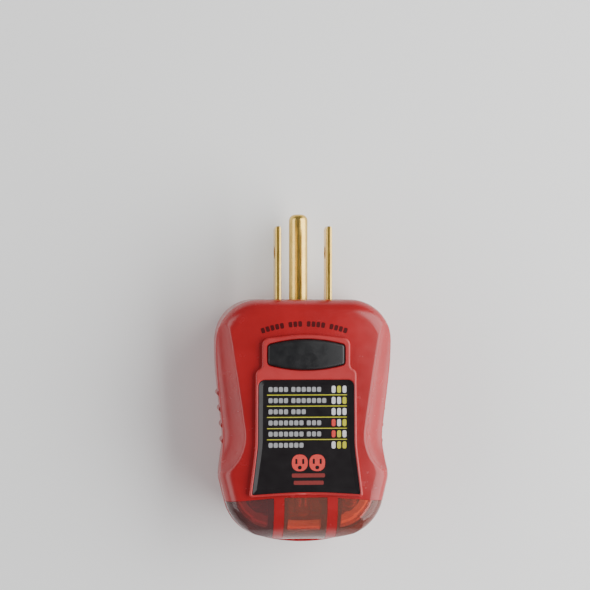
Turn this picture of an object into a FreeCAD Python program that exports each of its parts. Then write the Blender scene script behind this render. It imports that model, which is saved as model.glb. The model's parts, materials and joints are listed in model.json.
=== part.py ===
"""Outlet tester plug with a ground-fault test button, for a grounded 15 A, 125 V outlet.

The tester lies on its back. +X runs across the body, +Y towards the prong tips, +Z out of the code plate.
The origin is on the flat rear face, at the middle of the body. Lengths are in millimetres.

A front and a rear shell meet at a seam in mid-depth. They clamp a moulded block that carries the three
prongs, and a circuit board with three neon lamps, their resistors, the fault resistor and the switch parts.
"""

import FreeCAD
import Part
import math
import os

from FreeCAD import Vector

# ---- driving dimensions ---------------------------------------------------------------------------------

BODY_LENGTH = 60.5  # along Y, from the prong end to the rim below the lenses
Y_END = BODY_LENGTH / 2  # the flat end that meets the outlet
END_RIM = 0.5  # how far that rim stands proud of the lenses
END_RIM_TOP = 18.2
REAR_TAPER = 0.9  # the sides draw in by this much towards the rear, and the lamp end by twice as much
SEAM_Z = 14.0
FRONT_Z = 28.0  # crest of the crowned front surface
PLATFORM_Z = 28.8  # flat raised platform round the button and the code plate
WALL = 1.8
CROWN_RADIUS = 140.0  # of the front surface, from side to side
FRONT_EDGE_RADIUS = 4.2
REAR_EDGE_RADIUS = 3.5

# Grounded 15 A, 125 V plug
BLADE_PITCH = 12.7
BLADE_WIDTH = 6.35
BLADE_THICKNESS = 1.5
BLADE_REACH = 18.2
BLADE_EDGE_RADIUS = 0.55
TIP_BEVEL = (0.8, 0.35)  # length along the blade, depth from each side
DETENT_RADIUS = 1.6
DETENT_REACH = 11.7  # from the prong end
PIN_DROP = 11.9  # from the blades' plane to the ground pin's axis
PIN_RADIUS = 2.39
PIN_REACH = 21.7
PIN_TIP_RADIUS = 1.6
BLADE_Z = 19.3
PIN_Z = BLADE_Z - PIN_DROP

BUTTON_Y = Y_END - 13.55
BUTTON_HALF_WIDTH = 9.45
BUTTON_HALF_HEIGHT = 3.5
BUTTON_END_HEIGHT = 2.4
BUTTON_TOP = 29.7

PLATE_TOP = Y_END - 19.8
PLATE_BOTTOM = Y_END - 47.9
WINDOW_TOP = Y_END - 48.7
RIB_CENTRE = 6.6  # the two ribs between the three lamp windows
RIB_WIDTH = 2.5

BOARD_TOP = SEAM_Z
BOARD_THICKNESS = 1.6
BOARD_BOTTOM = BOARD_TOP - BOARD_THICKNESS

SCREW_SPOTS = [(0.0, 9.0), (0.0, -9.0)]
SCREW_RADIUS = 1.45
BOSS_RADIUS = 2.8

LAMP_SPOTS = {"left": (-11.6, -12.8), "middle": (0.0, -14.9), "right": (11.6, -12.8)}
LAMP_Z = 19.6
LAMP_RADIUS = 2.1
LAMP_LENGTH = 9.2
GLASS_WALL = 0.35
PINCH = 1.2  # solid glass round the leads

# Finger grips: each groove is a capsule, from a foot to a head, given as (x, y, z) for the right side
GROOVE_RADIUS = 12.3
GROOVE_FOOT = (27.0, Y_END - 33.5, 30.2)
GROOVE_HEAD = (31.5, Y_END + 6.0, 33.2)
REAR_GROOVE_SHIFT = 1.6
CREST_RADIUS = 1.0
GRIP_RIB_STATIONS = (23.4, 27.4, 31.4, 35.4)  # distances from the prong end
GRIP_RIB_RADIUS = 0.9
GRIP_RIB_PROUD = 0.3
GRIP_RIB_HEIGHT = 4.6

ROLL_RADIUS = 10.0  # of the front surface where it turns down into the lamp end
FILLET_INSET_LIMIT = 2.0
PLATFORM_EDGE_RADIUS = 0.5
RIM_BEVEL = 0.22

# Seam between the shells: a lip on the rear shell enters a rebate in the front shell
LIP_OUTER = 0.95
LIP_INNER = 1.75
LIP_HEIGHT = 1.2
SEAM_GROOVE = 0.25

# Code plate: a shallow dish with a sloped border
PLATE_THICKNESS = 1.0
PLATE_FLOOR = PLATFORM_Z - 1.25
PLATE_GAP = 0.08
DISH_DEPTH = 0.4
DISH_BORDER = (0.1, 1.15)  # from the plate's edge to the top and to the foot of the slope

# Lenses
WINDOW_SILL = END_RIM_TOP + 0.2
WINDOW_DROP = 1.5  # the side windows' top edge falls away outwards by this much
LENS_FLANGE = 0.5
LENS_FLANGE_THICKNESS = 0.8
LENS_SIDE_WALL = 1.2
LENS_LEDGE = [(WALL, 4.9, 0.4), (3.4, 4.9, 0.9)]  # two steps along a lens's foot: insets, and thickness
PARTITION = 1.3  # thickness of the walls that keep the three lamps' light apart

# Prong block: a face that fills the opening in the prong end, and a flange behind the shells' wall
BLOCK_FACE = (9.85, (4.1, 22.9))
BLOCK_FRONT = Y_END - WALL
BLOCK_BACK = Y_END - 5.75
PIN_NECK = 2.2  # the pin is a little thinner inside the block
COLLAR_RADIUS = 3.2
COLLAR_Y = (BLOCK_BACK + 1.0, BLOCK_BACK + 2.2)
CUP_END = BLOCK_BACK - 4.0
CUP_DEPTH = 3.0
BLOCK_RIB_X = (9.4, 10.8)  # ribs in both shells that back up the block
BLOCK_RIB_Y = (BLOCK_BACK - 1.9, BLOCK_BACK - 0.1)

# Button and switch
BUTTON_GAP = 0.12
BUTTON_FLANGE = 0.8
BUTTON_FLANGE_Z = (24.4, 25.6)
BUTTON_CROWN = 75.0
BUTTON_EDGE_RADIUS = 0.6
BUTTON_WALL = 1.3
STEM_HALF = 1.6
STEM_GAP = 0.1  # between the button's stem and the leaf
LEAF_PIVOT_X = -13.0
LEAF_TIP_X = 3.4
LEAF_BOTTOM = 17.35
LEAF_TOP = LEAF_BOTTOM + 0.3
LEAF_Y = (BUTTON_Y - 1.8, BUTTON_Y + 1.8)
RIVET_X = LEAF_TIP_X - 0.9
POST_X = (LEAF_PIVOT_X - 1.5, LEAF_PIVOT_X)
POST_LEG_X = (LEAF_PIVOT_X - 1.1, LEAF_PIVOT_X - 0.4)
CONTACT_TOP = 15.3
CONTACT_LEG_X = (RIVET_X + 2.8, RIVET_X + 3.2)
CONTACT_Y = (BUTTON_Y - 1.2, BUTTON_Y + 1.2)
SWITCH_LEG_Y = (BUTTON_Y - 0.6, BUTTON_Y + 0.6)

# Circuit board and the leads that go through it
BOARD_Y = (-23.5, 22.6)
BOARD_PEGS = ((12.5, 13.5), (14.5, -18.0))  # the right-hand ones of the four pegs that the board rests on
BOARD_PEG_RADIUS = 1.5
TAIL_Y = (BLOCK_BACK - 4.2, BLOCK_BACK - 2.2)
TAIL_END = BOARD_BOTTOM - 1.1
GROUND_HOLE_Y = 15.4
WIRE_RADIUS = 0.5
LEAD_RADIUS = 0.28
ELECTRODE_RADIUS = 0.4
ELECTRODE_SPREAD = 0.75
LEAD_BEND = 1.9
LAMP_RESISTOR_SPOTS = {"left": (-12.4, -3.2), "middle": (-7.0, -4.6), "right": (12.4, -3.2)}
LAMP_RESISTOR_LENGTH = 6.4
LAMP_RESISTOR_RADIUS = 1.15
LAMP_RESISTOR_SPAN = 9.6
TEST_RESISTOR_SPOT = (0.0, 3.0)
TEST_RESISTOR_LENGTH = 14.0
TEST_RESISTOR_RADIUS = 2.3
TEST_RESISTOR_SPAN = 19.0
LAMP_RESISTOR_LIFT = 0.1  # gap between a resistor and the board
TEST_RESISTOR_LIFT = 0.3
SOLDER_FOOT = 0.75  # how far a solder cone stands out round its lead, at the board
SOLDER_TIP = 0.15  # and at its tip

# Screws
HEAD_RADIUS = 2.7
HEAD_TOP = 1.0
HEAD_SEAT = 3.0
SCREW_END = 19.0
RECESS = (1.5, 0.3, 1.0)  # half length and half width of each arm of the cross, and its depth

CLEAR = 0.05  # between pieces that fit closely and don't move


# ---- small tools ----------------------------------------------------------------------------------------


def down(distance):
    """The Y that lies this far from the prong end."""
    return Y_END - distance


def rounded_wire(corners):
    """A closed wire through corners (x, y, radius). Each corner becomes an arc tangent to its two sides."""
    arcs = []
    for i, (x, y, radius) in enumerate(corners):
        before = Vector(*corners[i - 1][:2], 0)
        here = Vector(x, y, 0)
        after = Vector(*corners[(i + 1) % len(corners)][:2], 0)
        back = (before - here).normalize()
        ahead = (after - here).normalize()
        half = math.acos(max(-1.0, min(1.0, back.dot(ahead)))) / 2
        cut = radius / math.tan(half)
        middle = here + (back + ahead).normalize() * (radius / math.sin(half) - radius)
        arcs.append((here + back * cut, middle, here + ahead * cut))
    edges = []
    for i, (start, middle, end) in enumerate(arcs):
        if (end - start).Length > 1e-6:
            edges.append(Part.Arc(start, middle, end).toShape())
        following = arcs[(i + 1) % len(arcs)][0]
        if (following - end).Length > 1e-6:
            edges.append(Part.LineSegment(end, following).toShape())
    return Part.Wire(edges)


def mirrored(right_side, bottom=(), top=()):
    """Corners of a shape symmetric about X = 0, anticlockwise, from its right side read bottom to top."""
    left_side = [(-x, y, radius) for x, y, radius in reversed(right_side)]
    return list(bottom) + list(right_side) + list(top) + left_side


def prism(wire, low, high):
    face = Part.Face(wire)
    face.translate(Vector(0, 0, low))
    return face.extrude(Vector(0, 0, high - low))


def block(x, y, z):
    """A box from three (low, high) pairs."""
    return Part.makeBox(x[1] - x[0], y[1] - y[0], z[1] - z[0], Vector(x[0], y[0], z[0]))


def rounded_block(x, y, z, radius):
    corners = [(x[0], y[0], radius), (x[1], y[0], radius), (x[1], y[1], radius), (x[0], y[1], radius)]
    return prism(rounded_wire(corners), z[0], z[1])


def post(x, y, radius, low, high):
    return Part.makeCylinder(radius, high - low, Vector(x, y, low))


def cylinder_y(radius, y, x, z):
    """A cylinder along Y between a (low, high) pair, with its axis at x and z."""
    return Part.makeCylinder(radius, y[1] - y[0], Vector(x, y[0], z), Vector(0, 1, 0))


def lathe(profile):
    """A solid of revolution about Z from (radius, z) points."""
    points = [Vector(r, 0, z) for r, z in profile]
    points.append(points[0])
    return Part.Face(Part.makePolygon(points)).revolve(Vector(0, 0, 0), Vector(0, 0, 1), 360)


def side_prism(points, x_low, x_high):
    """A prism along X from (y, z) points."""
    outline = [Vector(x_low, y, z) for y, z in points]
    outline.append(outline[0])
    return Part.Face(Part.makePolygon(outline)).extrude(Vector(x_high - x_low, 0, 0))


def bent_rod(points, radius, bend):
    """A round rod through the points, with one arc at each corner."""
    edges = []
    start = points[0]
    for before, here, after in zip(points, points[1:], points[2:]):
        back = (before - here).normalize()
        ahead = (after - here).normalize()
        half = math.acos(max(-1.0, min(1.0, back.dot(ahead)))) / 2
        cut = bend / math.tan(half)
        middle = here + (back + ahead).normalize() * (bend / math.sin(half) - bend)
        edges.append(Part.LineSegment(start, here + back * cut).toShape())
        edges.append(Part.Arc(here + back * cut, middle, here + ahead * cut).toShape())
        start = here + ahead * cut
    edges.append(Part.LineSegment(start, points[-1]).toShape())
    section = Part.Wire(Part.makeCircle(radius, points[0], points[1] - points[0]))
    return Part.Wire(edges).makePipeShell([section], True, False)


def fuse(shapes):
    return shapes[0].multiFuse(shapes[1:]).removeSplitter() if len(shapes) > 1 else shapes[0]


def cut(shape, tools):
    return shape.cut(Part.makeCompound(tools)) if tools else shape


# ---- outlines -------------------------------------------------------------------------------------------

BODY_SIDE = [
    (18.0, down(56.55), 11.5),  # corner of the lamp end
    (21.05, down(43.8), 5.0),  # widest point of the foot
    (19.8, down(34.8), 25.0),  # waist
    (21.95, down(15.5), 80.0),  # shoulder
    (21.8, Y_END, 10.6),  # corner of the prong end
]
LAMP_END_BOW = (0, down(61.76), 39.0)


def body_outline(inset):
    """The body in plan, drawn in by inset all round."""
    outline = rounded_wire(mirrored(BODY_SIDE, bottom=[LAMP_END_BOW]))
    return outline if inset == 0 else outline.makeOffset2D(-inset)


def half_width(y):
    """How far the seam outline stands from the middle at this Y."""
    across = Part.makeLine(Vector(0, y, 0), Vector(40, y, 0))
    return Part.Face(body_outline(0)).common(across).BoundBox.XMax


def button_wire(grow):
    """The barrel outline of the test button: short straight ends, bowed top and bottom."""
    end = BUTTON_HALF_WIDTH + grow
    edge = BUTTON_END_HEIGHT + grow
    middle = BUTTON_HALF_HEIGHT + grow
    bow = 2 * middle - edge  # the tangents at the ends meet here, so the bow passes near the middle height
    bow_radius = 0.42 * end**2 / (middle - edge)  # a little under the arc that would reach both corners
    corner = 0.8 + max(grow, -0.3)
    side = [(end, BUTTON_Y - edge, corner), (end, BUTTON_Y + edge, corner)]
    bottom = [(0, BUTTON_Y - bow, bow_radius)]
    top = [(0, BUTTON_Y + bow, bow_radius)]
    return rounded_wire(mirrored(side, bottom, top))


def plate_wire(grow):
    """The code plate's outline, with hollow flared sides and a slightly arched foot."""
    side = [
        (13.35 + grow, PLATE_BOTTOM - grow, max(0.3 + grow, 0.1)),
        (11.85 + grow, down(36.0), 30.0),
        (11.75 + grow, PLATE_TOP + grow, 1.5 + grow),
    ]
    return rounded_wire(mirrored(side, bottom=[(0, PLATE_BOTTOM + 0.9 - grow, 120.0)]))


def platform_wire():
    """The raised platform: a collar round the button that widens into the code plate's surround."""
    side = [
        (14.15, WINDOW_TOP + 0.15, 0.6),
        (12.55, down(36.0), 30.0),
        (12.45, down(17.6), 1.6),
        (10.9, down(16.7), 1.2),
        (10.9, down(9.6), 1.8),
    ]
    return rounded_wire(mirrored(side, bottom=[(0, WINDOW_TOP + 0.75, 120.0)], top=[(0, down(8.3), 38.0)]))


def window_wire(side, grow):
    """One lamp window in plan. It runs out past the lamp end."""
    foot = -Y_END - 3.0
    if side == "middle":
        reach = RIB_CENTRE - RIB_WIDTH / 2 + grow
        top = WINDOW_TOP + grow
        return rounded_wire([(-reach, foot, 0), (reach, foot, 0), (reach, top, 0.3), (-reach, top, 0.3)])
    near = RIB_CENTRE + RIB_WIDTH / 2 - grow
    far = 24.0
    near_top = WINDOW_TOP - 0.15 + grow
    far_top = WINDOW_TOP - WINDOW_DROP + grow
    corners = [(near, foot, 0), (far, foot, 0), (far, far_top, 0), (near, near_top, 0.3)]
    if side == "left":
        corners = [(-x, y, radius) for x, y, radius in reversed(corners)]
    return rounded_wire(corners)


# ---- the body's form ------------------------------------------------------------------------------------


def grip_grooves(inset, rear):
    """The hollow finger grips down both sides of one shell. They stop above the lamp windows."""
    radius = GROOVE_RADIUS + inset
    grooves = []
    for sign in (-1, 1):
        ends = []
        for x, y, z in (GROOVE_FOOT, GROOVE_HEAD):
            if rear:
                x += REAR_GROOVE_SHIFT
                z = 2 * SEAM_Z - z
            ends.append(Vector(sign * x, y, z))
        foot, head = ends
        run = head - foot
        grooves.append(Part.makeSphere(radius, foot))
        grooves.append(Part.makeCylinder(radius, run.Length, foot, run))
    return grooves


def lamp_end_roll(inset):
    """What is cut away so that the front rolls down into the lamp end."""
    hinge = Vector(-40, ROLL_RADIUS + END_RIM - Y_END, FRONT_Z - ROLL_RADIUS)
    corner = block((-40, 40), (-60, hinge.y), (hinge.z, 60))
    return corner.cut(Part.makeCylinder(ROLL_RADIUS - inset, 80, hinge, Vector(1, 0, 0)))


def front_form(inset):
    """The front half of the body as a solid, drawn in by inset on every side."""
    form = prism(body_outline(inset), SEAM_Z, FRONT_Z + 10)
    crown = cylinder_y(CROWN_RADIUS - inset, (-45, 45), 0, FRONT_Z - CROWN_RADIUS)
    form = form.common(crown).Solids[0]
    roof = max(form.Faces, key=lambda face: face.CenterOfMass.z)
    form = form.makeFillet(FRONT_EDGE_RADIUS - min(inset, FILLET_INSET_LIMIT), roof.OuterWire.Edges)
    form = form.cut(lamp_end_roll(inset))
    return cut(form, grip_grooves(inset, rear=False))


def rear_form(inset):
    """The rear half of the body as a solid, drawn in by inset on every side. Its prong end stays upright."""
    foot = body_outline(inset + REAR_TAPER)
    foot.translate(Vector(0, REAR_TAPER, inset))
    top = body_outline(inset)
    top.translate(Vector(0, 0, SEAM_Z))
    form = Part.makeLoft([foot, top], True, True)
    floor = min(form.Faces, key=lambda face: face.CenterOfMass.z)
    form = form.makeFillet(REAR_EDGE_RADIUS - min(inset, FILLET_INSET_LIMIT), floor.OuterWire.Edges)
    return cut(form, grip_grooves(inset, rear=True))


def soften_grooves(form, radius):
    """Rounds the crests where the grip grooves meet the rest of the form."""
    groove_edges = []
    for face in form.Faces:
        if abs(getattr(face.Surface, "Radius", 0) - GROOVE_RADIUS) < 1e-6:
            groove_edges.extend(face.Edges)
    crests = [edge for edge in groove_edges if sum(edge.isSame(other) for other in groove_edges) == 1]
    return form.makeFillet(radius, crests)


def ring(outer_inset, inner_inset, low, high):
    """A band that follows the body outline, between two insets."""
    return prism(body_outline(outer_inset), low, high).cut(prism(body_outline(inner_inset), low, high))


def grip_ribs(low, high):
    """The short upright ribs on both sides of the waist."""
    ribs = []
    for distance in GRIP_RIB_STATIONS:
        y = down(distance)
        x = half_width(y) + GRIP_RIB_PROUD - GRIP_RIB_RADIUS
        ribs.extend(post(sign * x, y, GRIP_RIB_RADIUS, low, high) for sign in (-1, 1))
    return ribs


# ---- shells ---------------------------------------------------------------------------------------------


def raised_platform():
    """The flat-topped platform, with its upper edge rounded."""
    slab = prism(platform_wire(), PLATFORM_Z - 2.6, PLATFORM_Z)
    top = max(slab.Faces, key=lambda face: face.CenterOfMass.z)
    return slab.makeFillet(PLATFORM_EDGE_RADIUS, top.OuterWire.Edges)


def end_rim():
    """The rim below the lenses: the body's plan moved towards the lamp end, so it fades out at the sides."""
    outline = body_outline(0)
    outline.translate(Vector(0, -END_RIM, 0))
    rim = prism(outline, SEAM_Z, END_RIM_TOP).common(block((-30, 30), (-Y_END - 5, down(42.0)), (0, 30)))
    top = max(rim.Faces, key=lambda face: face.CenterOfMass.z)
    edges = [edge for edge in top.Edges if edge.BoundBox.YMin < down(44.0)]
    return rim.makeFillet(0.3, edges)


def mirror_pair(x, y, z):
    """Two blocks, one on each side. X is given for the right-hand one."""
    return [block(x, y, z), block((-x[1], -x[0]), y, z)]


def front_shell(outer, inner):
    body = soften_grooves(outer, CREST_RADIUS)
    body = body.multiFuse([raised_platform(), end_rim()] + grip_ribs(SEAM_Z, SEAM_Z + GRIP_RIB_HEIGHT))
    body = cut(body, [inner, ring(-1, SEAM_GROOVE, SEAM_Z, SEAM_Z + SEAM_GROOVE)])

    inside = [post(x, y, BOSS_RADIUS, SEAM_Z, FRONT_Z - 1) for x, y in SCREW_SPOTS]
    partition_x = (RIB_CENTRE - PARTITION / 2, RIB_CENTRE + PARTITION / 2)
    inside += mirror_pair(partition_x, (-Y_END, WINDOW_TOP + 1.5), (SEAM_Z + 0.2, FRONT_Z - 1))
    inside += mirror_pair(BLOCK_RIB_X, BLOCK_RIB_Y, (BLADE_Z + 1.2, FRONT_Z - 1))
    inside = [shape.common(front_form(WALL / 2)) for shape in inside]
    body = body.multiFuse(inside)

    openings = [ring(LIP_OUTER - CLEAR, LIP_INNER + CLEAR, SEAM_Z, SEAM_Z + LIP_HEIGHT + CLEAR)]
    openings.append(prism(button_wire(BUTTON_GAP), SEAM_Z + 5, PLATFORM_Z + 1))
    openings += [prism(window_wire(side, 0), WINDOW_SILL, PLATFORM_Z) for side in LAMP_SPOTS]
    openings.append(block_window())
    openings.append(prism(plate_wire(PLATE_GAP), PLATE_FLOOR, PLATFORM_Z + 1))
    openings += [post(x, y, SCREW_RADIUS + 0.02, SEAM_Z - 1, SCREW_END + 1) for x, y in SCREW_SPOTS]
    body = cut(body, openings)
    return bevel_rims(body, [button_wire(BUTTON_GAP), plate_wire(PLATE_GAP)])


def bevel_rims(body, wires):
    """Bevels the platform's edge round each opening."""
    edges = []
    for rim in wires:
        rim.translate(Vector(0, 0, PLATFORM_Z))
        edges += [edge for edge in body.Edges if edge.CenterOfMass.z > FRONT_Z and max_gap(edge, rim) < 0.01]
    return body.makeChamfer(RIM_BEVEL, edges)


def max_gap(edge, rim):
    """The largest distance from the edge's points to the rim."""
    return max(Part.Vertex(point).distToShape(rim)[0] for point in edge.discretize(4))


def rear_shell(outer, inner):
    body = soften_grooves(outer, CREST_RADIUS)
    body = body.multiFuse(grip_ribs(SEAM_Z - GRIP_RIB_HEIGHT, SEAM_Z))
    body = body.cut(inner)
    lip = ring(LIP_OUTER, LIP_INNER, SEAM_Z - 0.6, SEAM_Z + LIP_HEIGHT)
    inside = [lip] + [post(x, y, BOSS_RADIUS, 1, BOARD_BOTTOM) for x, y in SCREW_SPOTS]
    inside += [post(x, y, HEAD_RADIUS + WALL, 1, HEAD_SEAT + 1.4) for x, y in SCREW_SPOTS]
    for x, y in BOARD_PEGS:
        inside += [post(peg_x, y, BOARD_PEG_RADIUS, 1, BOARD_BOTTOM) for peg_x in (-x, x)]
    inside += mirror_pair(BLOCK_RIB_X, BLOCK_RIB_Y, (1, PIN_Z + 3))
    body = body.multiFuse(inside)
    openings = [block_window()]
    for x, y in SCREW_SPOTS:
        openings.append(post(x, y, HEAD_RADIUS + 0.3, -1, HEAD_SEAT))
        openings.append(post(x, y, SCREW_RADIUS + 0.2, -1, SEAM_Z))
    return cut(body, openings)


def block_window():
    """The opening in the prong end that the prong block fills."""
    half, z = BLOCK_FACE
    y = (BLOCK_FRONT - 0.01, Y_END + 5)
    return rounded_block_y(half + CLEAR, y, (z[0] - CLEAR, z[1] + CLEAR), 1.0 + CLEAR)


def rounded_block_y(half, y, z, radius):
    """A block with rounded corners that faces along Y."""
    solid = rounded_block((-half, half), z, (0, y[1] - y[0]), radius)
    solid.rotate(Vector(0, 0, 0), Vector(1, 0, 0), 90)
    solid.translate(Vector(0, y[1], 0))
    return solid


# ---- code plate and lenses ------------------------------------------------------------------------------


def code_plate():
    """A plate whose flat face lies a little below its edge, inside a sloped border."""
    top = PLATE_FLOOR + PLATE_THICKNESS
    slab = prism(plate_wire(0), PLATE_FLOOR, top)
    rims = []
    for border, z in ((DISH_BORDER[1], top - DISH_DEPTH), (DISH_BORDER[0], top)):
        rim = plate_wire(-border)
        rim.translate(Vector(0, 0, z))
        rims.append(rim)
    return slab.cut(Part.makeLoft(rims, True, True))


def lens(side, outer, middle, inner):
    """A pane flush with the shell, a flange behind the wall, side walls and a stepped ledge at the foot."""
    above_sill = WINDOW_SILL + CLEAR
    pane = outer.cut(middle).common(prism(window_wire(side, -CLEAR), above_sill, PLATFORM_Z))
    flange_plan = prism(window_wire(side, LENS_FLANGE), WINDOW_SILL - LENS_FLANGE / 2, PLATFORM_Z)
    flange = middle.cut(inner).common(flange_plan)
    side_y = (-Y_END, WINDOW_TOP - 1.0)
    sides = [block(x, side_y, (above_sill, FRONT_Z)).common(inner) for x in lens_sides(side)]
    steps = [ring(outside, inside, above_sill, above_sill + rise) for outside, inside, rise in LENS_LEDGE]
    ledge = fuse(steps).common(prism(window_wire(side, -CLEAR), 0, FRONT_Z)).common(middle)
    return fuse([pane, flange, ledge] + sides)


def lens_sides(side):
    """Across the body, where each lens has an upright wall inside the cavity, next to a rib."""
    outer = RIB_CENTRE - RIB_WIDTH / 2 - CLEAR
    if side == "middle":
        return [(-outer, LENS_SIDE_WALL - outer), (outer - LENS_SIDE_WALL, outer)]
    near = RIB_CENTRE + RIB_WIDTH / 2 + CLEAR
    walls = [(near, near + LENS_SIDE_WALL)]
    return walls if side == "right" else [(-near - LENS_SIDE_WALL, -near)]


# ---- prongs ---------------------------------------------------------------------------------------------


def blade(x):
    """A flat blade with a bevelled tip, a detent hole and a tail that drops through the board."""
    low = BLADE_Z - BLADE_WIDTH / 2
    high = BLADE_Z + BLADE_WIDTH / 2
    tip = Y_END + BLADE_REACH
    half = BLADE_THICKNESS / 2
    shaft = block((x - half, x + half), (BLOCK_BACK - 1.5, tip), (low, high))
    long_edges = [edge for edge in shaft.Edges if edge.BoundBox.YLength > BLADE_REACH]
    shaft = shaft.makeFillet(BLADE_EDGE_RADIUS, long_edges)
    for sign in (-1, 1):
        side = x + sign * half
        corner = [(side, tip - TIP_BEVEL[0]), (side + sign, tip - TIP_BEVEL[0]), (side + sign, tip + 1)]
        corner.append((side - sign * TIP_BEVEL[1], tip + 0.01))
        points = [Vector(px, py, 0) for px, py in corner]
        shaft = shaft.cut(Part.Face(Part.makePolygon(points + points[:1])).extrude(Vector(0, 0, 40)))
    profile = [
        (TAIL_Y[0], TAIL_END),
        (TAIL_Y[1], TAIL_END),
        (TAIL_Y[1], low + BLADE_EDGE_RADIUS),
        (BLOCK_BACK - 1.0, low + BLADE_EDGE_RADIUS),
        (BLOCK_BACK - 1.0, high - BLADE_EDGE_RADIUS),
        (TAIL_Y[0], low + 2.6),
    ]
    tail = side_prism(profile, x - half, x + half)
    hole = Part.makeCylinder(DETENT_RADIUS, 4, Vector(x - 2, Y_END + DETENT_REACH, BLADE_Z), Vector(1, 0, 0))
    return shaft.fuse(tail).removeSplitter().cut(hole)


def ground_pin():
    """A round pin with a blunt rounded tip, a collar inside the block and a solder cup at its inner end."""
    shaft = cylinder_y(PIN_RADIUS, (Y_END, Y_END + PIN_REACH), 0, PIN_Z)
    tip = max(shaft.Edges, key=lambda edge: edge.CenterOfMass.y)
    shaft = shaft.makeFillet(PIN_TIP_RADIUS, [tip])
    neck = cylinder_y(PIN_NECK, (CUP_END, Y_END), 0, PIN_Z)
    collar = cylinder_y(COLLAR_RADIUS, COLLAR_Y, 0, PIN_Z)
    bore = cylinder_y(WIRE_RADIUS + CLEAR, (CUP_END, CUP_END + CUP_DEPTH), 0, PIN_Z)
    return fuse([shaft, neck, collar]).cut(bore)


def prong_block(prongs):
    """The moulding that holds the three prongs. Its face is flush with the prong end."""
    half, z = BLOCK_FACE
    face = rounded_block_y(half, (BLOCK_FRONT - 0.5, Y_END), z, 1.0)
    flange = rounded_block_y(half + 1.3, (BLOCK_BACK, BLOCK_FRONT - CLEAR), (z[0] - 0.9, z[1] + 0.7), 1.0)
    return cut(fuse([face, flange]), prongs)


def ground_wire():
    return bent_rod(
        [
            Vector(0, CUP_END + CUP_DEPTH - 0.2, PIN_Z),
            Vector(0, GROUND_HOLE_Y, PIN_Z),
            Vector(0, GROUND_HOLE_Y, BOARD_TOP + 0.8),
        ],
        WIRE_RADIUS,
        1.6,
    )


# ---- button and switch ----------------------------------------------------------------------------------


def test_button():
    cap = prism(button_wire(0), BUTTON_FLANGE_Z[0], BUTTON_TOP + 3)
    crown = cylinder_y(BUTTON_CROWN, (BUTTON_Y - 15, BUTTON_Y + 15), 0, BUTTON_TOP - BUTTON_CROWN)
    cap = cap.common(crown).Solids[0]
    top = max(cap.Faces, key=lambda face: face.CenterOfMass.z)
    cap = cap.makeFillet(BUTTON_EDGE_RADIUS, top.OuterWire.Edges)
    flange = prism(button_wire(BUTTON_FLANGE), *BUTTON_FLANGE_Z)
    hollow = prism(button_wire(-BUTTON_WALL), BUTTON_FLANGE_Z[0] - 1, BUTTON_TOP - 1.6)
    stem_y = (BUTTON_Y - STEM_HALF, BUTTON_Y + STEM_HALF)
    stem = rounded_block_y(1.0, stem_y, (LEAF_TOP + STEM_GAP, BUTTON_TOP - 0.4), 0.95)
    web = block((-8.6, 8.6), (BUTTON_Y - 0.5, BUTTON_Y + 0.5), (BUTTON_FLANGE_Z[0], BUTTON_TOP - 1.0))
    return fuse([cap, flange]).cut(hollow).multiFuse([stem, web])


def leaf_post():
    """The terminal that the spring leaf is welded to. Its leg goes through the board."""
    upright = block(POST_X, LEAF_Y, (BOARD_TOP, LEAF_BOTTOM))
    leg = block(POST_LEG_X, SWITCH_LEG_Y, (TAIL_END, BOARD_TOP))
    return fuse([upright, leg])


def switch_leaf():
    strip = block((POST_X[0], LEAF_TIP_X), LEAF_Y, (LEAF_BOTTOM, LEAF_TOP))
    rivet = post(RIVET_X, BUTTON_Y, 0.8, LEAF_BOTTOM - 0.5, LEAF_TOP + 0.25)
    return fuse([strip, rivet])


def switch_contact():
    """The fixed contact under the leaf's tip, on a foot that goes through the board."""
    shelf = block((RIVET_X - 1.2, CONTACT_LEG_X[1]), CONTACT_Y, (CONTACT_TOP - 0.4, CONTACT_TOP))
    upright = block(CONTACT_LEG_X, CONTACT_Y, (BOARD_TOP, CONTACT_TOP))
    leg = block(CONTACT_LEG_X, SWITCH_LEG_Y, (TAIL_END, BOARD_TOP))
    return fuse([shelf, upright, leg])


# ---- circuit board and its parts ------------------------------------------------------------------------


def lamp_leads(side):
    """A lamp's two electrodes and leads, which leave the pinch and turn down through the board."""
    middle_x, y = LAMP_SPOTS[side]
    hole_y = y + LEAD_BEND
    leads = []
    for x in (middle_x - ELECTRODE_SPREAD, middle_x + ELECTRODE_SPREAD):
        path = [Vector(x, y - 2.0, LAMP_Z), Vector(x, hole_y, LAMP_Z), Vector(x, hole_y, TAIL_END)]
        electrode = cylinder_y(ELECTRODE_RADIUS, (y - 6.6, y - PINCH - 0.2), x, LAMP_Z)
        leads.append(fuse([bent_rod(path, LEAD_RADIUS, 1.0), electrode]))
    return leads


def lamp_glass(side):
    """A neon lamp's glass: a thin tube, domed at the far end and pinched shut round the leads."""
    x, y = LAMP_SPOTS[side]

    def bulb(radius, back, front):
        tube = cylinder_y(radius, (back + radius, front), x, LAMP_Z)
        return fuse([tube, Part.makeSphere(radius, Vector(x, back + radius, LAMP_Z))])

    tip = y - LAMP_LENGTH
    hollow = bulb(LAMP_RADIUS - GLASS_WALL, tip + GLASS_WALL, y - PINCH)
    shell = bulb(LAMP_RADIUS, tip, y).cut(hollow)
    lead_xs = (x - ELECTRODE_SPREAD, x + ELECTRODE_SPREAD)
    return cut(shell, [cylinder_y(LEAD_RADIUS + 0.02, (y - 2, y + 1), lead_x, LAMP_Z) for lead_x in lead_xs])


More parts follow.
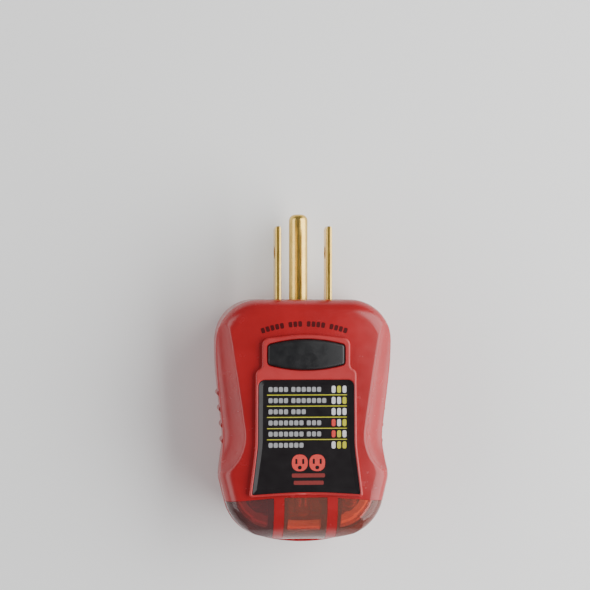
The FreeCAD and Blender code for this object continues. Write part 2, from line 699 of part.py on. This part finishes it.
def axial_resistor(centre, length, radius, along_x):
    """A resistor body with rounded shoulders, thicker at both ends than in the middle."""
    half = length / 2
    end = 0.24 * length
    waist = radius * 0.88
    profile = [
        (0, -half),
        (radius * 0.7, -half),
        (radius, -half + radius * 0.3),
        (radius, -half + end),
        (waist, -half + end + 0.3),
        (waist, half - end - 0.3),
        (radius, half - end),
        (radius, half - radius * 0.3),
        (radius * 0.7, half),
        (0, half),
    ]
    return placed_along(lathe(profile), centre, along_x)


def placed_along(shape, centre, along_x):
    """Turns a shape whose axis is Z to lie along X or Y at the centre."""
    if along_x:
        shape.rotate(Vector(0, 0, 0), Vector(0, 1, 0), 90)
    else:
        shape.rotate(Vector(0, 0, 0), Vector(1, 0, 0), 90)
    shape.translate(centre)
    return shape


def resistor_leads(centre, length, span, along_x):
    """The two leads of an axial resistor, bent down into holes that are span apart."""
    direction = Vector(1, 0, 0) if along_x else Vector(0, 1, 0)
    leads = []
    for sign in (-1, 1):
        out = direction * (sign * span / 2)
        inner = centre + direction * (sign * length / 2)
        corner = centre + out
        leads.append(bent_rod([inner, corner, Vector(corner.x, corner.y, TAIL_END)], LEAD_RADIUS, 0.7))
    return leads


def resistor(centre, length, radius, span, along_x):
    return axial_resistor(centre, length, radius, along_x), resistor_leads(centre, length, span, along_x)


def lead_points():
    """Every round lead that goes through the board, as (x, y, radius)."""
    points = [(0, GROUND_HOLE_Y, WIRE_RADIUS)]
    for x, y in LAMP_SPOTS.values():
        points += [(x + sign * ELECTRODE_SPREAD, y + LEAD_BEND, LEAD_RADIUS) for sign in (-1, 1)]
    for x, y in LAMP_RESISTOR_SPOTS.values():
        points += [(x, y + sign * LAMP_RESISTOR_SPAN / 2, LEAD_RADIUS) for sign in (-1, 1)]
    x, y = TEST_RESISTOR_SPOT
    points += [(x + sign * TEST_RESISTOR_SPAN / 2, y, LEAD_RADIUS) for sign in (-1, 1)]
    return points


def flat_legs():
    """Every flat leg that goes through the board, as ((x low, x high), (y low, y high))."""
    half = BLADE_THICKNESS / 2
    legs = [((x - half, x + half), TAIL_Y) for x in (-BLADE_PITCH / 2, BLADE_PITCH / 2)]
    return legs + [(POST_LEG_X, SWITCH_LEG_Y), (CONTACT_LEG_X, SWITCH_LEG_Y)]


def circuit_board():
    """The board, with a hole for every lead, leg and screw."""
    board = prism(body_outline(2.9), BOARD_BOTTOM, BOARD_TOP)
    board = board.common(block((-30, 30), BOARD_Y, (0, 30)))
    low = BOARD_BOTTOM - 1
    high = BOARD_TOP + 1
    tools = [post(x, y, radius + 0.1, low, high) for x, y, radius in lead_points()]
    tools += [post(x, y, SCREW_RADIUS + 0.25, low, high) for x, y in SCREW_SPOTS]
    for x, y in flat_legs():
        tools.append(block((x[0] - 0.1, x[1] + 0.1), (y[0] - 0.1, y[1] + 0.1), (low, high)))
    return cut(board, tools)


def solder_joints():
    """A cone of solder round each lead and leg, on the underside of the board."""
    joints = []
    tip = TAIL_END + 0.3
    for x, y, radius in lead_points():
        slope = [(radius + SOLDER_FOOT, BOARD_BOTTOM), (radius + SOLDER_TIP, tip)]
        cone = lathe([(radius, BOARD_BOTTOM)] + slope + [(radius, tip)])
        cone.translate(Vector(x, y, 0))
        joints.append(cone)
    for x, y in flat_legs():
        around_x = (x[0] - 0.6, x[1] + 0.6)
        around_y = (y[0] - 0.5, y[1] + 0.5)
        around = rounded_block(around_x, around_y, (TAIL_END + 0.5, BOARD_BOTTOM), 0.45)
        joints.append(around.cut(block(x, y, (TAIL_END, BOARD_BOTTOM))))
    return joints


def case_screws():
    """Two self-tapping screws with cross recesses, driven from the rear."""
    head_profile = [
        (0, HEAD_TOP),
        (HEAD_RADIUS - 0.8, HEAD_TOP),
        (HEAD_RADIUS, HEAD_TOP + 0.6),
        (HEAD_RADIUS, HEAD_SEAT),
        (0, HEAD_SEAT),
    ]
    shank_profile = [
        (0, HEAD_SEAT),
        (SCREW_RADIUS, HEAD_SEAT),
        (SCREW_RADIUS, SCREW_END - 1.6),
        (0.3, SCREW_END),
        (0, SCREW_END),
    ]
    half_length, half_width, depth = RECESS
    along = (-half_length, half_length)
    across = (-half_width, half_width)
    recess = [block(x, y, (0, HEAD_TOP + depth)) for x, y in ((along, across), (across, along))]
    screws = []
    for x, y in SCREW_SPOTS:
        screw = cut(fuse([lathe(head_profile), lathe(shank_profile)]), recess)
        screw.translate(Vector(x, y, 0))
        screws.append(screw)
    return screws


# ---- everything -----------------------------------------------------------------------------------------


def build():
    """Every node's shape, by name. A node of several solids is a list."""
    outer = front_form(0)
    middle = front_form(WALL)
    inner = front_form(WALL + LENS_FLANGE_THICKNESS)
    blades = {"neutral_blade": blade(-BLADE_PITCH / 2), "hot_blade": blade(BLADE_PITCH / 2)}
    pin = ground_pin()
    nodes = {
        "front_shell": front_shell(outer, middle),
        "rear_shell": rear_shell(rear_form(0), rear_form(WALL)),
        "code_plate": code_plate(),
        "test_button": test_button(),
        "prong_block": prong_block(list(blades.values()) + [pin]),
        "ground_pin": pin,
        "ground_wire": ground_wire(),
        "circuit_board": circuit_board(),
        "leaf_post": leaf_post(),
        "switch_leaf": switch_leaf(),
        "switch_contact": switch_contact(),
        "solder_joints": solder_joints(),
        "case_screws": case_screws(),
    }
    nodes.update(blades)
    for side in LAMP_SPOTS:
        nodes[side + "_lens"] = lens(side, outer, middle, inner)
        nodes[side + "_lamp_glass"] = lamp_glass(side)
        nodes[side + "_lamp_electrodes"] = lamp_leads(side)
        x, y = LAMP_RESISTOR_SPOTS[side]
        centre = Vector(x, y, BOARD_TOP + LAMP_RESISTOR_LIFT + LAMP_RESISTOR_RADIUS)
        body, leads = resistor(centre, LAMP_RESISTOR_LENGTH, LAMP_RESISTOR_RADIUS, LAMP_RESISTOR_SPAN, False)
        nodes[side + "_resistor"] = body
        nodes[side + "_resistor_leads"] = leads
    x, y = TEST_RESISTOR_SPOT
    centre = Vector(x, y, BOARD_TOP + TEST_RESISTOR_LIFT + TEST_RESISTOR_RADIUS)
    body, leads = resistor(centre, TEST_RESISTOR_LENGTH, TEST_RESISTOR_RADIUS, TEST_RESISTOR_SPAN, True)
    nodes["test_resistor"] = body
    nodes["test_resistor_leads"] = leads
    return nodes


def main():
    """Writes one STEP file for each node."""
    os.makedirs("parts", exist_ok=True)
    for name, shape in build().items():
        solids = shape if isinstance(shape, list) else shape.Solids
        solid = solids[0] if len(solids) == 1 else Part.makeCompound(solids)
        solid.exportStep("parts/" + name + ".step")
        state = "valid" if solid.isValid() else "INVALID"
        print(name, len(solids), "solids", round(solid.Volume, 2), "mm3", state)


main()
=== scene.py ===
"""Looks of the outlet tester plug: moulded red case, printed code plate, tinted lenses and brass prongs.

Lengths are in metres unless a name says mm. The tester lies on its back, with its prongs along +Y.
"""

import json
import math

import bmesh
import bpy
from mathutils import Matrix, Vector
from mathutils.bvhtree import BVHTree


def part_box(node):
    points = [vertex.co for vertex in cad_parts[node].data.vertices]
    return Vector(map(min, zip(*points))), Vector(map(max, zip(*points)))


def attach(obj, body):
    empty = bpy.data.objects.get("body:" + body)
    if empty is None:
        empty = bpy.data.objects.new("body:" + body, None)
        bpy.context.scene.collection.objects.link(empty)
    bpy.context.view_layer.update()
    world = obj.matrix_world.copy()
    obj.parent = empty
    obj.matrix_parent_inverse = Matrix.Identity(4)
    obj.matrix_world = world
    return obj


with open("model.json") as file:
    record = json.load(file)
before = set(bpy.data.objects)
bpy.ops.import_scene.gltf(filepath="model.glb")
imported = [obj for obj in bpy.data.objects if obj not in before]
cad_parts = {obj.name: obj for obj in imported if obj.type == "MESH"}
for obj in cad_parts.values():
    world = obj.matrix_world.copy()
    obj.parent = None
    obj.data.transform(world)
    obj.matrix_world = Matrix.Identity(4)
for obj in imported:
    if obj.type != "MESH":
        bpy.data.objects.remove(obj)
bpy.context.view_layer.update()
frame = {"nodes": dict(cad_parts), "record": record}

NODES = frame["nodes"]
MM = 0.001

CASE_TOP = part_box("front_shell")[1] / MM  # the front shell's highest corner, in mm
PRONG_END_Y = CASE_TOP.y  # mm; distances down the front face are measured from here
PLATFORM_FOOT = CASE_TOP.z - 0.35  # mm; the case above this height is the raised platform
INK_HEIGHT = 0.012  # mm that ink stands proud of the surface it is printed on

# Lens ledges, in mm
LEDGE_TOPS = (18.85, 19.35)  # heights of the two steps along the foot of each lens
STEP_TOLERANCE = 0.02
# The rough skin on the steps carries a painted glow
FROST = 0.03  # thickness of the rough skin on the steps

# Printed marks are rounded blocks, given in mm as (width, height, corner radius)
CORNER_PARTS = 5  # straight parts in a rounded corner
LONGEST_SLICE = 0.5

# Printed code plate, in mm: distances are from the prong end, and x is across the plate
ROW_DISTANCES = [22.1 + 2.74 * row for row in range(6)]
ROW_START_X = -9.4
ROW_WORDS = [(4, 6), (4, 7), (4, 3), (7, 3), (7, 3), (7,)]  # blocks in each word
ROW_BLOCK = (1.0, 1.2, 0.3)
BLOCK_PITCH = 1.27
WORD_GAP = 0.55
RULE = (19.75, 0.2, 0.05)
RULE_X = 0.225
PILL = (0.95, 1.75, 0.4)
PILL_X = (6.8, 8.15, 9.5)
PILL_COLOURS = ["WYW", "WWY", "WWW", "RWY", "RYW", "WYY"]  # white, yellow or red

# Emblem below the rows, in mm: two outlet symbols over two bars
SYMBOL = (3.9, 4.1, 1.7)
SYMBOL_X = (-1.55, 2.75)
SYMBOL_DISTANCE = 40.15
SLOT = (0.5, 1.25, 0.1)
SLOT_SPOTS = [(-0.85, 0.35), (0.85, 0.35)]  # from the symbol's centre
GROUND_HOLE = (0.95, 0.9, 0.42)
GROUND_SPOT = (0.0, -1.15)
EMBLEM_BARS = [((8.2, 1.0, 0.3), 0.57, 43.25), ((7.4, 1.0, 0.3), 0.65, 45.05)]  # bar, x, distance

# Arc of marks over the button, in mm
ARC_RADIUS = 32.5
ARC_TOP_DISTANCE = 6.0
ARC_X = -0.4
ARC_WORDS = (5, 3, 4, 4)
ARC_PITCH = 1.2
ARC_GAP = 0.9
ARC_BLOCK = (0.92, 1.35, 0.3)

# Stage and camera
FLOOR_GAP = 0.05  # mm between the rear face and the floor
FLOOR_HALF = 1.2
CAMERA_TURN = math.radians(5.3)  # about the prongs' direction, from straight above the code plate
CAMERA_AIM = (0.0, 31.35, 19.5)  # mm
CAMERA_SHIFT = -1.93  # mm from that point, towards the camera's right
CAMERA_DISTANCE = 0.5
FOCAL_LENGTH = 122.0  # mm
SENSOR_WIDTH = 36.0  # mm


# ---- node graphs ----------------------------------------------------------------------------------------


class Graph:
    """A new material whose nodes are added by short calls. `shader` is its Principled BSDF."""

    def __init__(self, name, **sockets):
        self.material = bpy.data.materials.new(name)
        self.material.use_nodes = True
        self.tree = self.material.node_tree
        self.shader = self.tree.nodes["Principled BSDF"]
        self.coordinates = self.tree.nodes.new("ShaderNodeTexCoord").outputs["Object"]
        self.set(self.shader, **sockets)

    def put(self, value, socket):
        """Links a node's output to the socket, or sets the socket to a plain value."""
        if hasattr(value, "is_output"):
            self.tree.links.new(value, socket)
        else:
            socket.default_value = value

    def set(self, node, **sockets):
        for name, value in sockets.items():
            self.put(value, node.inputs[name.replace("_", " ")])

    def add(self, kind, **properties):
        node = self.tree.nodes.new("ShaderNode" + kind)
        for name, value in properties.items():
            setattr(node, name, value)
        return node

    def stretched(self, scale):
        """Object coordinates scaled by (x, y, z)."""
        mapping = self.add("Mapping")
        self.set(mapping, Vector=self.coordinates, Scale=scale)
        return mapping.outputs["Vector"]

    def noise(self, size_mm, detail=2.0, roughness=0.5, stretch=(1, 1, 1)):
        """Noise whose features are about size_mm across."""
        per_metre = 1 / (size_mm * MM)
        node = self.add("TexNoise")
        vector = self.stretched([per_metre * s for s in stretch])
        self.set(node, Vector=vector, Scale=1.0, Detail=detail, Roughness=roughness)
        return node.outputs["Fac"]

    def spread(self, value, low, high, from_low=0.3, from_high=0.7):
        """Maps a value's middle range to low..high."""
        node = self.add("MapRange")
        self.set(node, Value=value, From_Min=from_low, From_Max=from_high, To_Min=low, To_Max=high)
        return node.outputs["Result"]

    def above(self, height_mm, soft_mm=0.1):
        """1 above this height and 0 below it."""
        axes = self.add("SeparateXYZ")
        self.set(axes, Vector=self.coordinates)
        return self.spread(axes.outputs["Z"], 0, 1, (height_mm - soft_mm) * MM, (height_mm + soft_mm) * MM)

    def mix(self, factor, first, second):
        """A number between two numbers, either of which may come from a node."""
        node = self.add("Mix", data_type="FLOAT")
        for place, value in ((0, factor), (2, first), (3, second)):
            self.put(value, node.inputs[place])
        return node.outputs[0]

    def blend(self, factor, first, second):
        """A colour between two colours, either of which may come from a node."""
        node = self.add("MixRGB")
        self.set(node, Fac=factor)
        for name, colour in (("Color1", first), ("Color2", second)):
            from_node = hasattr(colour, "is_output")
            self.put(colour if from_node else (*colour, 1.0), node.inputs[name])
        return node.outputs["Color"]

    def bump(self, height, strength, distance_mm):
        node = self.add("Bump")
        self.set(node, Height=height, Strength=strength, Distance=distance_mm * MM)
        self.use(node.outputs["Normal"], "Normal")

    def use(self, output, socket):
        self.put(output, self.shader.inputs[socket])


def moulded(name, colour, roughness, grain_mm=0.28, grain=0.12, gloss_spread=0.06, shine=0.5):
    """Moulded plastic: slightly uneven colour, fine spark-eroded grain and uneven gloss."""
    graph = Graph(name, Specular_IOR_Level=shine)
    darker = [c * 0.86 for c in colour]
    graph.use(graph.blend(graph.spread(graph.noise(9.0, 3.0), 0, 1), darker, colour), "Base Color")
    uneven = graph.spread(graph.noise(2.2, 4.0), roughness - gloss_spread, roughness + gloss_spread)
    graph.use(uneven, "Roughness")
    graph.bump(graph.noise(grain_mm, 3.0), grain, 0.05)
    return graph.material


def case_red():
    """Glossy red moulding, with a duller and slightly paler finish on the raised platform."""
    graph = Graph("case_red")
    platform = graph.above(PLATFORM_FOOT)
    swirl = graph.spread(graph.noise(9.0, 3.0), 0, 1)
    glossy = graph.blend(swirl, (0.29, 0.007, 0.009), (0.35, 0.009, 0.012))
    dull = graph.blend(swirl, (0.34, 0.012, 0.014), (0.41, 0.016, 0.018))
    graph.use(graph.blend(platform, glossy, dull), "Base Color")
    uneven = graph.noise(2.2, 4.0)
    smooth = graph.spread(uneven, 0.20, 0.28)
    rough = graph.spread(uneven, 0.40, 0.52)
    graph.use(graph.mix(platform, smooth, rough), "Roughness")
    graph.bump(graph.noise(0.28, 3.0), 0.09, 0.05)
    return graph.material


def button_black():
    """Dull black with a pronounced grain."""
    colour = (0.008, 0.008, 0.009)
    return moulded("button_black", colour, 0.42, grain_mm=0.22, grain=0.35, gloss_spread=0.12, shine=0.4)


def plate_black():
    """Smooth dull black, under the printed marks."""
    return moulded("plate_black", (0.008, 0.006, 0.007), 0.36, grain_mm=0.5, grain=0.05, shine=0.24)


def metal(name, colour, roughness, grain_stretch=(1, 1, 1), grain=0.12, stain=(0.8, 0.8, 0.8)):
    """Drawn or rolled metal, with fine lines along the direction it was worked in."""
    graph = Graph(name, Metallic=1.0)
    worn = [c * s for c, s in zip(colour, stain)]
    graph.use(graph.blend(graph.spread(graph.noise(3.0, 4.0), 0, 1), worn, colour), "Base Color")
    lines = graph.noise(0.12, 2.0, stretch=grain_stretch)
    graph.use(graph.spread(lines, roughness * 0.75, roughness * 1.3), "Roughness")
    graph.bump(lines, grain, 0.02)
    return graph.material


def ink(name, colour, roughness=0.45, shine=0.5):
    """Screen-printed ink with a slightly uneven coat."""
    graph = Graph(name, Specular_IOR_Level=shine)
    thin = [c * 0.82 for c in colour]
    graph.use(graph.blend(graph.spread(graph.noise(0.35, 4.0), 0, 1), thin, colour), "Base Color")
    graph.use(graph.spread(graph.noise(0.2, 2.0), roughness - 0.08, roughness + 0.08), "Roughness")
    return graph.material


def tinted(name, surface, body, density):
    """Smoky tinted plastic: the colour comes from its depth, and the skin has faint flow marks.

    The low index keeps the rounded ends from breaking up the view inside, and the coat gives the gloss back.
    """
    graph = Graph(name, Transmission_Weight=0.88, IOR=1.14, Coat_Weight=0.6, Coat_Roughness=0.1)
    dull = [c * 0.9 for c in surface]
    graph.use(graph.blend(graph.spread(graph.noise(6.0, 2.0), 0, 1), dull, surface), "Base Color")
    graph.use(graph.spread(graph.noise(1.5, 2.0), 0.08, 0.20), "Roughness")
    graph.bump(graph.noise(1.8, 1.0), 0.12, 0.08)
    depth = graph.add("VolumeAbsorption")
    graph.set(depth, Color=(*body, 1.0), Density=density)
    graph.set(graph.tree.nodes["Material Output"], Volume=depth.outputs["Volume"])
    return graph.material


def rough_skin_painted_glow(name, colour, glow):
    """Rough tops of a ledge's two steps, with a painted glow: emission stands in for light that the lens
    carries, and the upper step is painted dimmer.
    """
    graph = Graph(name, Emission_Strength=glow)
    mottle = graph.spread(graph.noise(0.9, 3.0), 0, 1)
    # Painted light: the lower step is painted bright and the upper one darker, and the same colour is also
    # emitted
    lower = graph.blend(mottle, [c * 0.8 for c in colour], colour)
    upper = graph.blend(mottle, [c * 0.4 for c in colour], [c * 0.55 for c in colour])
    shade = graph.blend(graph.above(sum(LEDGE_TOPS) / 2), lower, upper)
    graph.use(shade, "Base Color")
    graph.use(shade, "Emission Color")
    graph.use(graph.spread(graph.noise(0.3, 2.0), 0.5, 0.7), "Roughness")
    return graph.material


def lamp_glass():
    graph = Graph("lamp_glass", Transmission_Weight=1.0, IOR=1.46)
    graph.use(graph.blend(graph.noise(2.0), (0.93, 0.94, 0.93), (1.0, 1.0, 1.0)), "Base Color")
    graph.use(graph.spread(graph.noise(1.0), 0.01, 0.05), "Roughness")
    return graph.material


def laminate():
    """Green circuit board lacquer over a faint glass weave."""
    graph = Graph("board_green")
    weave = graph.add("TexWave", wave_type="BANDS", bands_direction="DIAGONAL")
    graph.set(weave, Vector=graph.stretched([1 / MM] * 3), Scale=1.2, Distortion=1.5)
    graph.use(graph.blend(weave.outputs["Fac"], (0.018, 0.11, 0.035), (0.03, 0.16, 0.05)), "Base Color")
    graph.use(graph.spread(graph.noise(2.0), 0.28, 0.42), "Roughness")
    return graph.material


def materials():
    """The record's material slots, by name."""
    return {
        "case_red": case_red(),
        "button_black": button_black(),
        "block_black": moulded("block_black", (0.02, 0.02, 0.022), 0.5, grain=0.2),
        "plate_black": plate_black(),
        "prong_brass": metal("prong_brass", (0.76, 0.52, 0.14), 0.27, (1, 0.03, 1), stain=(0.86, 0.80, 0.68)),
        "spring_bronze": metal("spring_bronze", (0.72, 0.44, 0.25), 0.3, (0.03, 1, 1)),
        "lead_metal": metal("lead_metal", (0.7, 0.7, 0.69), 0.25),
        "solder": metal("solder", (0.68, 0.69, 0.71), 0.2),
        "screw_steel": metal("screw_steel", (0.52, 0.52, 0.55), 0.3, stain=(0.7, 0.72, 0.75)),
        "board_green": laminate(),
        "lens_red": tinted("lens_red", (0.60, 0.24, 0.24), (0.70, 0.06, 0.05), 620.0),
        "lens_amber": tinted("lens_amber", (0.84, 0.33, 0.25), (0.88, 0.30, 0.04), 520.0),
        "lamp_glass": lamp_glass(),
        "resistor_tan": moulded("resistor_tan", (0.52, 0.38, 0.22), 0.35),
        "resistor_grey": moulded("resistor_grey", (0.30, 0.34, 0.36), 0.6, grain=0.4),
        # Painted glow on the ledge skins, in place of light that the lenses carry
        "painted_glow_red": rough_skin_painted_glow("painted_glow_red", (0.95, 0.24, 0.20), 0.5),
        "painted_glow_amber": rough_skin_painted_glow("painted_glow_amber", (1.0, 0.56, 0.12), 0.74),
        "ink_white": ink("ink_white", (0.64, 0.63, 0.65)),
        "ink_grey": ink("ink_grey", (0.30, 0.30, 0.31)),
        "ink_yellow": ink("ink_yellow", (0.50, 0.48, 0.02)),
        "ink_red": ink("ink_red", (0.62, 0.045, 0.035)),
        "ink_dull_red": ink("ink_dull_red", (0.19, 0.015, 0.013)),
        "ink_dark": ink("ink_dark", (0.07, 0.005, 0.006), 0.5, shine=0.12),
    }


# ---- printed marks --------------------------------------------------------------------------------------


def surface_under(node):
    """A function that gives the height, in mm, of the node's upper surface over (x, y) in mm."""
    mesh = NODES[node].data
    tree = BVHTree.FromPolygons([v.co for v in mesh.vertices], [list(p.vertices) for p in mesh.polygons])

    def height(x, y):
        hit = tree.ray_cast(Vector((x * MM, y * MM, 0.1)), Vector((0, 0, -1)))[0]
        return hit.z / MM

    return height


def mark(width, height, radius, x=0.0, y=0.0):
    """A rounded rectangle centred on (x, y), as upright slices: pairs of a top and a bottom point.

    Slices are close together, so that the mark follows the crown of the surface under it.
    """
    corner = [math.pi / 2 * part / CORNER_PARTS for part in range(CORNER_PARTS + 1)]
    across = width / 2 - radius
    half = height / 2 - radius
    right = [(across + radius * math.sin(a), half + radius * math.cos(a)) for a in corner]
    parts = max(1, math.ceil(2 * across / LONGEST_SLICE))
    middle = [(across * (2 * i / parts - 1), height / 2) for i in range(1, parts)]
    left = [(-dx, dy) for dx, dy in reversed(right)]
    return [((x + dx, y + dy), (x + dx, y - dy)) for dx, dy in left + middle + right]


def print_marks(name, marks, height, material):
    """A thin layer of ink for each mark, on the surface that height describes."""
    shape = bmesh.new()
    for slices in marks:
        rings = []
        for top, bottom in slices:
            corners = []
            for (x, y), lift in ((top, 1), (bottom, 1), (bottom, -1), (top, -1)):
                corners.append(shape.verts.new((x * MM, y * MM, (height(x, y) + lift * INK_HEIGHT) * MM)))
            rings.append(corners)
        for near, far in zip(rings, rings[1:]):
            for i in range(4):
                j = (i + 1) % 4
                shape.faces.new((near[i], near[j], far[j], far[i]))
        shape.faces.new(rings[0])
        shape.faces.new(list(reversed(rings[-1])))
    bmesh.ops.remove_doubles(shape, verts=shape.verts, dist=1e-7)
    bmesh.ops.recalc_face_normals(shape, faces=shape.faces)
    case_piece(name, shape, material)


def case_piece(name, shape, material):
    """A new piece that rides on the case, from a bmesh."""
    mesh = bpy.data.meshes.new(name)
    shape.to_mesh(mesh)
    shape.free()
    mesh.materials.append(material)
    piece = bpy.data.objects.new(name, mesh)
    bpy.context.scene.collection.objects.link(piece)
    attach(piece, "case")
    return piece


def word_centres(words, pitch, gap):
    """Centres of the blocks of a line of words, measured from the line's start."""
    centres = []
    start = 0.0
    for count in words:
        centres += [start + pitch * (i + 0.5) for i in range(count)]
        start += pitch * count + gap
    return centres


def printed_rows(ink_of, height):
    """Six rows of blocks in place of words, thin rules between them, and three pills for the lamps."""
    blocks = []
    for distance, words in zip(ROW_DISTANCES, ROW_WORDS):
        for along in word_centres(words, BLOCK_PITCH, WORD_GAP):
            blocks.append(mark(*ROW_BLOCK, ROW_START_X + along, PRONG_END_Y - distance))
    print_marks("row_blocks", blocks, height, ink_of["ink_grey"])

    rules = []
    for above, below in zip(ROW_DISTANCES, ROW_DISTANCES[1:]):
        rules.append(mark(*RULE, RULE_X, PRONG_END_Y - (above + below) / 2))
    print_marks("rules", rules, height, ink_of["ink_yellow"])

    inks = {"W": "ink_white", "Y": "ink_yellow", "R": "ink_red"}
    for letter, ink_name in inks.items():
        pills = []
        for distance, colours in zip(ROW_DISTANCES, PILL_COLOURS):
            for x, colour in zip(PILL_X, colours):
                if colour == letter:
                    pills.append(mark(*PILL, x, PRONG_END_Y - distance))
        print_marks("pills_" + ink_name.removeprefix("ink_"), pills, height, ink_of[ink_name])


def printed_emblem(ink_of, height):
    """Two outlet symbols side by side, over two plain bars."""
    y = PRONG_END_Y - SYMBOL_DISTANCE
    discs = [mark(*SYMBOL, x, y) for x in SYMBOL_X]
    print_marks("emblem", discs, height, ink_of["ink_red"])

    def disc_height(x, y):
        return height(x, y) + INK_HEIGHT

    holes = []
    for x in SYMBOL_X:
        holes += [mark(*SLOT, x + across, y + up) for across, up in SLOT_SPOTS]
        holes.append(mark(*GROUND_HOLE, x + GROUND_SPOT[0], y + GROUND_SPOT[1]))
    print_marks("emblem_holes", holes, disc_height, ink_of["plate_black"])

    bars = [mark(*bar, x, PRONG_END_Y - distance) for bar, x, distance in EMBLEM_BARS]
    print_marks("emblem_bars", bars, height, ink_of["ink_dull_red"])


def printed_arc(ink_of, height):
    """Dark blocks along an arc over the button."""
    centre_y = PRONG_END_Y - ARC_TOP_DISTANCE - ARC_RADIUS
    places = word_centres(ARC_WORDS, ARC_PITCH, ARC_GAP)
    middle = (places[0] + places[-1]) / 2

    def bent(point, angle):
        across, up = point
        turn = angle + across / ARC_RADIUS
        radius = ARC_RADIUS + up
        return ARC_X + radius * math.sin(turn), centre_y + radius * math.cos(turn)

    blocks = []
    for place in places:
        angle = (place - middle) / ARC_RADIUS
        blocks.append([(bent(top, angle), bent(bottom, angle)) for top, bottom in mark(*ARC_BLOCK)])
    print_marks("arc_blocks", blocks, height, ink_of["ink_dark"])


def build_marks(ink_of):
    plate = surface_under("code_plate")
    printed_rows(ink_of, plate)
    printed_emblem(ink_of, plate)
    printed_arc(ink_of, surface_under("front_shell"))


# ---- lenses ---------------------------------------------------------------------------------------------


def painted_glow_ledge(side, material):
    """A rough skin on the ledge inside a lens, with a painted glow that shows as a band along its foot."""
    shape = bmesh.new()
    shape.from_mesh(NODES[side + "_lens"].data)
    shape.normal_update()

    def off_ledge(face):
        height = face.calc_center_median().z / MM
        level = face.normal.z > 0.95
        return not level or all(abs(height - top) > STEP_TOLERANCE for top in LEDGE_TOPS)

    bmesh.ops.delete(shape, geom=[face for face in shape.faces if off_ledge(face)], context="FACES")
    bmesh.ops.translate(shape, verts=shape.verts, vec=(0, 0, 2 * FROST * MM))
    bmesh.ops.solidify(shape, geom=shape.faces, thickness=FROST * MM)
    case_piece(side + "_ledge_painted_glow", shape, material)


def painted_glow_ledges(slots):
    painted_glow_ledge("left", slots["painted_glow_red"])
    painted_glow_ledge("middle", slots["painted_glow_amber"])
    painted_glow_ledge("right", slots["painted_glow_amber"])


# ---- scene ----------------------------------------------------------------------------------------------


def dress_nodes(slots):
    """Gives every CAD node the material of its slot in the record."""
    for subpart in frame["record"]["subparts"]:
        mesh = NODES[subpart["node"]].data
        mesh.materials.clear()
        mesh.materials.append(slots[subpart["material_slot"]])


def build_floor():
    mesh = bpy.data.meshes.new("floor")
    sides = [(-1, -1), (1, -1), (1, 1), (-1, 1)]
    outline = [(x * FLOOR_HALF, y * FLOOR_HALF, -FLOOR_GAP * MM) for x, y in sides]
    mesh.from_pydata(outline, [], [(0, 1, 2, 3)])
    floor = bpy.data.objects.new("floor", mesh)
    bpy.context.scene.collection.objects.link(floor)
    graph = Graph("floor")
    graph.use(graph.blend(graph.noise(120.0), (0.86, 0.86, 0.85), (0.90, 0.90, 0.89)), "Base Color")
    graph.set(graph.shader, Roughness=0.8)
    mesh.materials.append(graph.material)


def add_light(name, place, target, size, watts):
    data = bpy.data.lights.new(name, "AREA")
    data.shape = "RECTANGLE"
    data.size, data.size_y = size
    data.energy = watts
    light = bpy.data.objects.new(name, data)
    bpy.context.scene.collection.objects.link(light)
    light.location = place
    light.rotation_mode = "QUATERNION"
    light.rotation_quaternion = (Vector(target) - Vector(place)).to_track_quat("-Z", "Y")


def build_lights():
    """A tall bright soft box on the right, a dimmer one on the left, and a dim soft light all round."""
    centre = (0, 0, 0.015)
    add_light("right", (0.42, 0.0, 0.27), centre, (0.9, 0.62), 9.0)
    add_light("left", (-0.52, 0.05, 0.26), centre, (0.8, 0.35), 2.5)
    world = bpy.data.worlds.new("studio")
    bpy.context.scene.world = world
    world.use_nodes = True
    background = world.node_tree.nodes["Background"]
    background.inputs["Color"].default_value = (0.95, 0.97, 1.0, 1.0)
    background.inputs["Strength"].default_value = 0.25


def build_camera():
    """Almost straight above the code plate, turned a little about the prongs' direction."""
    right = Vector((math.cos(CAMERA_TURN), 0, math.sin(CAMERA_TURN)))
    up = Vector((0, 1, 0))
    back = right.cross(up)
    data = bpy.data.cameras.new("camera")
    data.lens = FOCAL_LENGTH
    data.sensor_width = SENSOR_WIDTH
    camera = bpy.data.objects.new("camera", data)
    bpy.context.scene.collection.objects.link(camera)
    camera.location = (Vector(CAMERA_AIM) + right * CAMERA_SHIFT) * MM + back * CAMERA_DISTANCE
    camera.rotation_mode = "QUATERNION"
    camera.rotation_quaternion = Matrix((right, up, back)).transposed().to_quaternion()
    bpy.context.scene.camera = camera


def corners(box):
    return [list(box[0]), list(box[1])]


slots = materials()
dress_nodes(slots)
build_marks(slots)
painted_glow_ledges(slots)
build_floor()
build_lights()
build_camera()
